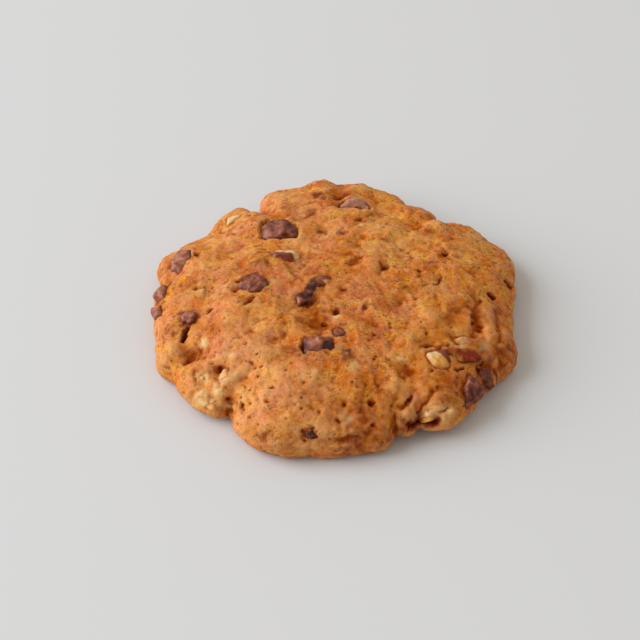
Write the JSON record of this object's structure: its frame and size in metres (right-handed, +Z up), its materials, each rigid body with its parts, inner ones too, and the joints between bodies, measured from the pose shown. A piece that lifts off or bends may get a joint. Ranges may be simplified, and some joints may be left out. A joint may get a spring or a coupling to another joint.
{
  "type": "chocolate chip cookie",
  "caption": "Thick round baked cookie with an uneven domed top, a lobed rounded edge and rough pieces of chocolate and nut set in it.",
  "frame": {"origin": "centre of the cookie's box, on the plane of its flat bottom", "axes": "+Z up, the cookie's short way; -Y is the side towards the camera of the picture, +X its right"},
  "size_m": [0.1074, 0.113, 0.0207],
  "materials": {
    "dough": "baked brown dough, matte with a faint sheen",
    "chocolate": "dark milk chocolate, dulled by baking",
    "nut_kernel": "pale cream nut",
    "nut_skin": "reddish brown nut skin"
  },
  "bodies": {
    "root": {"dough": "dough", "chocolate_chunk_back_left": "chocolate", "chocolate_chunk_back": "chocolate", "chocolate_chunk_far_left": "chocolate", "chocolate_chunk_left": "chocolate", "chocolate_ridge_middle": "chocolate", "chocolate_chunk_front": "chocolate", "chocolate_bead_front": "chocolate", "chocolate_wedge_right_wall": "chocolate", "chocolate_chip_left_wall": "chocolate", "chocolate_chip_left_wall_low": "chocolate", "chocolate_chunk_left_edge": "chocolate", "chocolate_chip_front_wall": "chocolate", "chocolate_smear_right_wall": "chocolate", "chocolate_chip_front_right": "chocolate", "nut_sliver_middle": "nut_kernel", "nut_kernel_right": "nut_kernel", "nut_ridge_right": "nut_kernel", "nut_chip_back_left": "nut_kernel", "nut_chip_left": "nut_kernel", "nut_chip_front_left": "nut_kernel", "nut_chip_front_left_side": "nut_kernel", "nut_chip_front_left_low": "nut_kernel", "nut_chunk_front_right_wall": "nut_kernel", "nut_skin_right": "nut_skin"}
  },
  "joints": []
}
